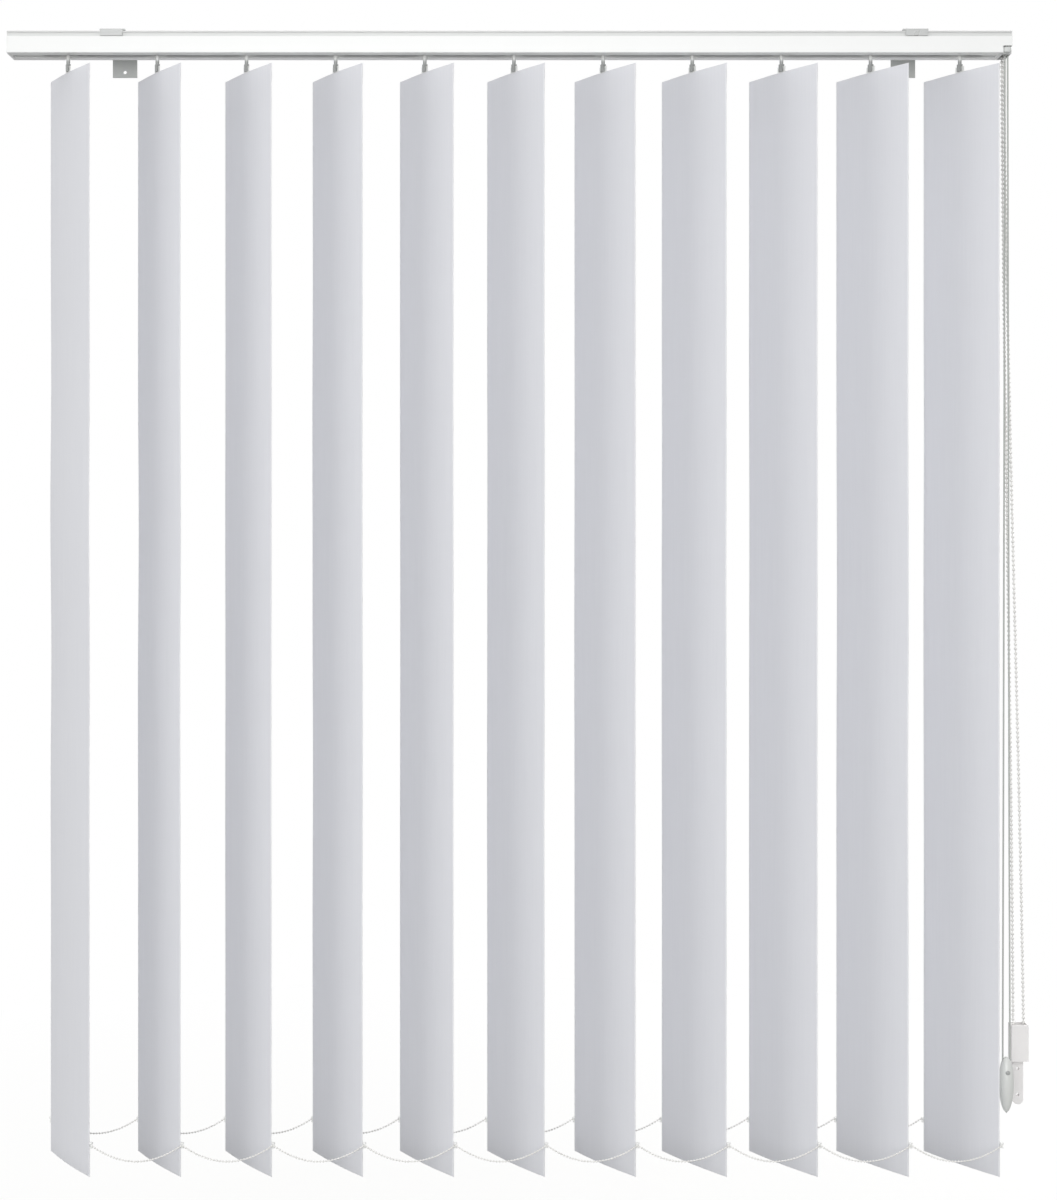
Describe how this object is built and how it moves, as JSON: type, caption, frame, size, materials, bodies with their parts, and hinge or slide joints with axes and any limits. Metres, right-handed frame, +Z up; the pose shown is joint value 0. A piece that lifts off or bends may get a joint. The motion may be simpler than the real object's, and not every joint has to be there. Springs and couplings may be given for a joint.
{
  "type": "vertical blind",
  "caption": "Wall-fixed vertical blind with fabric vanes on a headrail, tilted by a bead chain and drawn aside by a weighted cord loop.",
  "frame": {"origin": "centre of the four wall screw holes, on the wall plane", "axes": "+X along the rail to the control end, +Y into the wall, +Z up"},
  "size_m": [1.3156, 0.1248, 1.4507],
  "materials": {
    "rail": "white powder coat",
    "cap": "satin white",
    "plastic": "satin white",
    "hook": "translucent pale grey",
    "clear": "pale grey, smooth",
    "chain": "pale grey",
    "bracket": "grey",
    "screw": "zinc plated",
    "rod": "as drawn",
    "cord": "braided",
    "fabric": "woven, matte"
  },
  "bodies": {
    "rail": {"headrail": "rail", "control_end_cap": "cap", "return_end_cap": "cap", "wall_bracket_left": "bracket", "wall_bracket_right": "bracket", "rail_clips": "clear", "clip_screws": "screw", "chain_tensioner": "clear", "bead_chain": "chain", "traverse_cord": "cord", "cord_weight": "plastic", "carrier_11": "plastic"},
    "tilt_drive": {"tilt_rod": "rod", "chain_sprocket": "plastic"},
    "return_pulley": {"return_pulley": "plastic"},
    "front_chain": {"front_bottom_chain": "chain"},
    "rear_chain": {"rear_bottom_chain": "chain"},
    "carrier_01": {"carrier_01": "plastic"},
    "carrier_02": {"carrier_02": "plastic"},
    "carrier_03": {"carrier_03": "plastic"},
    "carrier_04": {"carrier_04": "plastic"},
    "carrier_05": {"carrier_05": "plastic"},
    "carrier_06": {"carrier_06": "plastic"},
    "carrier_07": {"carrier_07": "plastic"},
    "carrier_08": {"carrier_08": "plastic"},
    "carrier_09": {"carrier_09": "plastic"},
    "carrier_10": {"carrier_10": "plastic"},
    "vane_01": {"vane_01": "fabric", "hook_01": "hook"},
    "vane_02": {"vane_02": "fabric", "hook_02": "hook"},
    "vane_03": {"vane_03": "fabric", "hook_03": "hook"},
    "vane_04": {"vane_04": "fabric", "hook_04": "hook"},
    "vane_05": {"vane_05": "fabric", "hook_05": "hook"},
    "vane_06": {"vane_06": "fabric", "hook_06": "hook"},
    "vane_07": {"vane_07": "fabric", "hook_07": "hook"},
    "vane_08": {"vane_08": "fabric", "hook_08": "hook"},
    "vane_09": {"vane_09": "fabric", "hook_09": "hook"},
    "vane_10": {"vane_10": "fabric", "hook_10": "hook"},
    "vane_11": {"vane_11": "fabric", "hook_11": "hook"},
    "worm_01": {"worm_01": "plastic"},
    "worm_02": {"worm_02": "plastic"},
    "worm_03": {"worm_03": "plastic"},
    "worm_04": {"worm_04": "plastic"},
    "worm_05": {"worm_05": "plastic"},
    "worm_06": {"worm_06": "plastic"},
    "worm_07": {"worm_07": "plastic"},
    "worm_08": {"worm_08": "plastic"},
    "worm_09": {"worm_09": "plastic"},
    "worm_10": {"worm_10": "plastic"},
    "worm_11": {"worm_11": "plastic"}
  },
  "joints": [
    {"name": "traverse", "type": "slide", "parent": "rail", "child": "carrier_01", "axis": [1, 0, 0], "range_m": [0, 0.92], "deforming": ["front_bottom_chain", "rear_bottom_chain"]},
    {"name": "traverse_02", "type": "slide", "parent": "rail", "child": "carrier_02", "axis": [1, 0, 0], "range_m": [0, 0.828]},
    {"name": "traverse_03", "type": "slide", "parent": "rail", "child": "carrier_03", "axis": [1, 0, 0], "range_m": [0, 0.736]},
    {"name": "traverse_04", "type": "slide", "parent": "rail", "child": "carrier_04", "axis": [1, 0, 0], "range_m": [0, 0.644]},
    {"name": "traverse_05", "type": "slide", "parent": "rail", "child": "carrier_05", "axis": [1, 0, 0], "range_m": [0, 0.552]},
    {"name": "traverse_06", "type": "slide", "parent": "rail", "child": "carrier_06", "axis": [1, 0, 0], "range_m": [0, 0.46]},
    {"name": "traverse_07", "type": "slide", "parent": "rail", "child": "carrier_07", "axis": [1, 0, 0], "range_m": [0, 0.368]},
    {"name": "traverse_08", "type": "slide", "parent": "rail", "child": "carrier_08", "axis": [1, 0, 0], "range_m": [0, 0.276]},
    {"name": "traverse_09", "type": "slide", "parent": "rail", "child": "carrier_09", "axis": [1, 0, 0], "range_m": [0, 0.184]},
    {"name": "traverse_10", "type": "slide", "parent": "rail", "child": "carrier_10", "axis": [1, 0, 0], "range_m": [0, 0.092]},
    {"name": "tilt", "type": "hinge", "parent": "carrier_01", "child": "vane_01", "pos_m": [-0.57, -0.07, -0.0273], "axis": [0, 0, 1], "range_deg": [-105, 35]},
    {"name": "tilt_02", "type": "hinge", "parent": "carrier_02", "child": "vane_02", "pos_m": [-0.456, -0.07, -0.0273], "axis": [0, 0, 1], "range_deg": [-105, 35]},
    {"name": "tilt_03", "type": "hinge", "parent": "carrier_03", "child": "vane_03", "pos_m": [-0.342, -0.07, -0.0273], "axis": [0, 0, 1], "range_deg": [-105, 35]},
    {"name": "tilt_04", "type": "hinge", "parent": "carrier_04", "child": "vane_04", "pos_m": [-0.228, -0.07, -0.0273], "axis": [0, 0, 1], "range_deg": [-105, 35]},
    {"name": "tilt_05", "type": "hinge", "parent": "carrier_05", "child": "vane_05", "pos_m": [-0.114, -0.07, -0.0273], "axis": [0, 0, 1], "range_deg": [-105, 35]},
    {"name": "tilt_06", "type": "hinge", "parent": "carrier_06", "child": "vane_06", "pos_m": [0, -0.07, -0.0273], "axis": [0, 0, 1], "range_deg": [-105, 35]},
    {"name": "tilt_07", "type": "hinge", "parent": "carrier_07", "child": "vane_07", "pos_m": [0.114, -0.07, -0.0273], "axis": [0, 0, 1], "range_deg": [-105, 35]},
    {"name": "tilt_08", "type": "hinge", "parent": "carrier_08", "child": "vane_08", "pos_m": [0.228, -0.07, -0.0273], "axis": [0, 0, 1], "range_deg": [-105, 35]},
    {"name": "tilt_09", "type": "hinge", "parent": "carrier_09", "child": "vane_09", "pos_m": [0.342, -0.07, -0.0273], "axis": [0, 0, 1], "range_deg": [-105, 35]},
    {"name": "tilt_10", "type": "hinge", "parent": "carrier_10", "child": "vane_10", "pos_m": [0.456, -0.07, -0.0273], "axis": [0, 0, 1], "range_deg": [-105, 35]},
    {"name": "tilt_11", "type": "hinge", "parent": "rail", "child": "vane_11", "pos_m": [0.57, -0.07, -0.0273], "axis": [0, 0, 1], "range_deg": [-105, 35]},
    {"name": "worm_turn_01", "type": "hinge", "parent": "carrier_01", "child": "worm_01", "pos_m": [-0.57, -0.061, 0.005], "axis": [1, 0, 0], "range_deg": [-1260, 420]},
    {"name": "worm_turn_02", "type": "hinge", "parent": "carrier_02", "child": "worm_02", "pos_m": [-0.456, -0.061, 0.005], "axis": [1, 0, 0], "range_deg": [-1260, 420]},
    {"name": "worm_turn_03", "type": "hinge", "parent": "carrier_03", "child": "worm_03", "pos_m": [-0.342, -0.061, 0.005], "axis": [1, 0, 0], "range_deg": [-1260, 420]},
    {"name": "worm_turn_04", "type": "hinge", "parent": "carrier_04", "child": "worm_04", "pos_m": [-0.228, -0.061, 0.005], "axis": [1, 0, 0], "range_deg": [-1260, 420]},
    {"name": "worm_turn_05", "type": "hinge", "parent": "carrier_05", "child": "worm_05", "pos_m": [-0.114, -0.061, 0.005], "axis": [1, 0, 0], "range_deg": [-1260, 420]},
    {"name": "worm_turn_06", "type": "hinge", "parent": "carrier_06", "child": "worm_06", "pos_m": [0, -0.061, 0.005], "axis": [1, 0, 0], "range_deg": [-1260, 420]},
    {"name": "worm_turn_07", "type": "hinge", "parent": "carrier_07", "child": "worm_07", "pos_m": [0.114, -0.061, 0.005], "axis": [1, 0, 0], "range_deg": [-1260, 420]},
    {"name": "worm_turn_08", "type": "hinge", "parent": "carrier_08", "child": "worm_08", "pos_m": [0.228, -0.061, 0.005], "axis": [1, 0, 0], "range_deg": [-1260, 420]},
    {"name": "worm_turn_09", "type": "hinge", "parent": "carrier_09", "child": "worm_09", "pos_m": [0.342, -0.061, 0.005], "axis": [1, 0, 0], "range_deg": [-1260, 420]},
    {"name": "worm_turn_10", "type": "hinge", "parent": "carrier_10", "child": "worm_10", "pos_m": [0.456, -0.061, 0.005], "axis": [1, 0, 0], "range_deg": [-1260, 420]},
    {"name": "worm_turn_11", "type": "hinge", "parent": "rail", "child": "worm_11", "pos_m": [0.57, -0.061, 0.005], "axis": [1, 0, 0], "range_deg": [-1260, 420]},
    {"name": "rod_turn", "type": "hinge", "parent": "rail", "child": "tilt_drive", "pos_m": [0, -0.061, 0.005], "axis": [1, 0, 0], "range_deg": [-1260, 420]},
    {"name": "pulley_turn", "type": "hinge", "parent": "rail", "child": "return_pulley", "pos_m": [-0.62, -0.07, 0.016], "axis": [0, 0, 1], "range_deg": [0, 4055]},
    {"name": "front_chain_turn", "type": "hinge", "parent": "vane_11", "child": "front_chain", "pos_m": [0.61084, -0.12258, -1.3833], "axis": [0, 0, 1], "range_deg": [-35, 105]},
    {"name": "rear_chain_turn", "type": "hinge", "parent": "vane_11", "child": "rear_chain", "pos_m": [0.53456, -0.01363, -1.3833], "axis": [0, 0, 1], "range_deg": [-35, 105]}
  ],
  "couplings": [
    {"joint": "traverse_02", "follows": "traverse", "ratio": 0.9},
    {"joint": "traverse_03", "follows": "traverse", "ratio": 0.8},
    {"joint": "traverse_04", "follows": "traverse", "ratio": 0.7},
    {"joint": "traverse_05", "follows": "traverse", "ratio": 0.6},
    {"joint": "traverse_06", "follows": "traverse", "ratio": 0.5},
    {"joint": "traverse_07", "follows": "traverse", "ratio": 0.4},
    {"joint": "traverse_08", "follows": "traverse", "ratio": 0.3},
    {"joint": "traverse_09", "follows": "traverse", "ratio": 0.2},
    {"joint": "traverse_10", "follows": "traverse", "ratio": 0.1},
    {"joint": "tilt_02", "follows": "tilt", "ratio": 1},
    {"joint": "tilt_03", "follows": "tilt", "ratio": 1},
    {"joint": "tilt_04", "follows": "tilt", "ratio": 1},
    {"joint": "tilt_05", "follows": "tilt", "ratio": 1},
    {"joint": "tilt_06", "follows": "tilt", "ratio": 1},
    {"joint": "tilt_07", "follows": "tilt", "ratio": 1},
    {"joint": "tilt_08", "follows": "tilt", "ratio": 1},
    {"joint": "tilt_09", "follows": "tilt", "ratio": 1},
    {"joint": "tilt_10", "follows": "tilt", "ratio": 1},
    {"joint": "tilt_11", "follows": "tilt", "ratio": 1},
    {"joint": "worm_turn_01", "follows": "tilt", "ratio": 12},
    {"joint": "worm_turn_02", "follows": "tilt", "ratio": 12},
    {"joint": "worm_turn_03", "follows": "tilt", "ratio": 12},
    {"joint": "worm_turn_04", "follows": "tilt", "ratio": 12},
    {"joint": "worm_turn_05", "follows": "tilt", "ratio": 12},
    {"joint": "worm_turn_06", "follows": "tilt", "ratio": 12},
    {"joint": "worm_turn_07", "follows": "tilt", "ratio": 12},
    {"joint": "worm_turn_08", "follows": "tilt", "ratio": 12},
    {"joint": "worm_turn_09", "follows": "tilt", "ratio": 12},
    {"joint": "worm_turn_10", "follows": "tilt", "ratio": 12},
    {"joint": "worm_turn_11", "follows": "tilt", "ratio": 12},
    {"joint": "rod_turn", "follows": "tilt", "ratio": 12},
    {"joint": "pulley_turn", "follows": "traverse", "rad_per_m": 76.923},
    {"joint": "front_chain_turn", "follows": "tilt", "ratio": -1},
    {"joint": "rear_chain_turn", "follows": "tilt", "ratio": -1}
  ]
}
